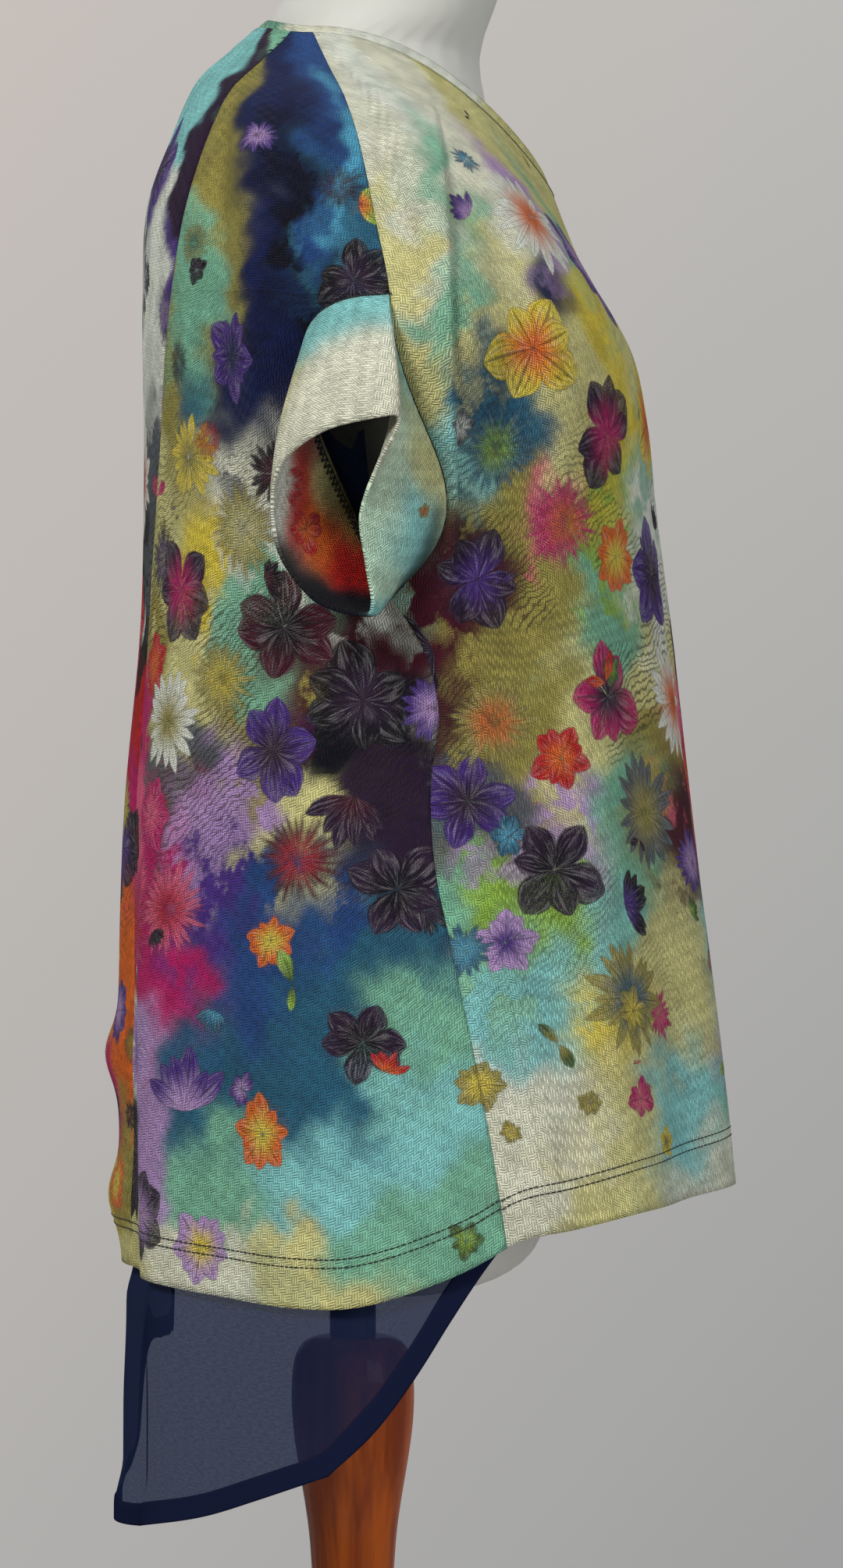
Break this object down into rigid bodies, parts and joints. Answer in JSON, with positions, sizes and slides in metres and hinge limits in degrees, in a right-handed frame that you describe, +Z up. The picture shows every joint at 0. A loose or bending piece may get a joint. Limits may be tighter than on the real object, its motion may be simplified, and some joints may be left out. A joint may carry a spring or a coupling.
{
  "type": "printed blouse with a longer sheer back layer, on a dress form with a turned stand",
  "caption": "Boxy kimono-sleeve blouse with turn-back cuffs, curved back seams and a longer sheer back layer, worn by a limbless dress form on a turned stand.",
  "frame": {"origin": "middle of the stand's flat underside, on the pole's axis", "axes": "+Z up the pole, the blouse's front faces -Y, the wearer's left is +X"},
  "size_m": [0.548, 0.3842, 1.436],
  "materials": {
    "printed_jersey": "matte jacquard jersey, floral print",
    "printed_jersey_dark": "matte jacquard jersey, floral print",
    "printed_jersey_light": "matte jacquard jersey, floral print",
    "navy_sheer": "fine sheer plain weave",
    "form_cover": "smooth matte cover",
    "black_metal": "satin",
    "varnished_wood": "gloss varnish"
  },
  "bodies": {
    "root": {"front_panel": "printed_jersey", "back_panel_right": "printed_jersey_dark", "back_panel_left": "printed_jersey_dark", "centre_back_panel": "printed_jersey_light", "cuff_right": "printed_jersey_light", "cuff_left": "printed_jersey_light", "neckband": "printed_jersey_light", "sheer_panel": "navy_sheer", "sheer_hem": "navy_sheer", "dress_form": "form_cover", "stand_pole": "black_metal", "stand_column": "varnished_wood", "stand_base": "varnished_wood"}
  },
  "joints": []
}
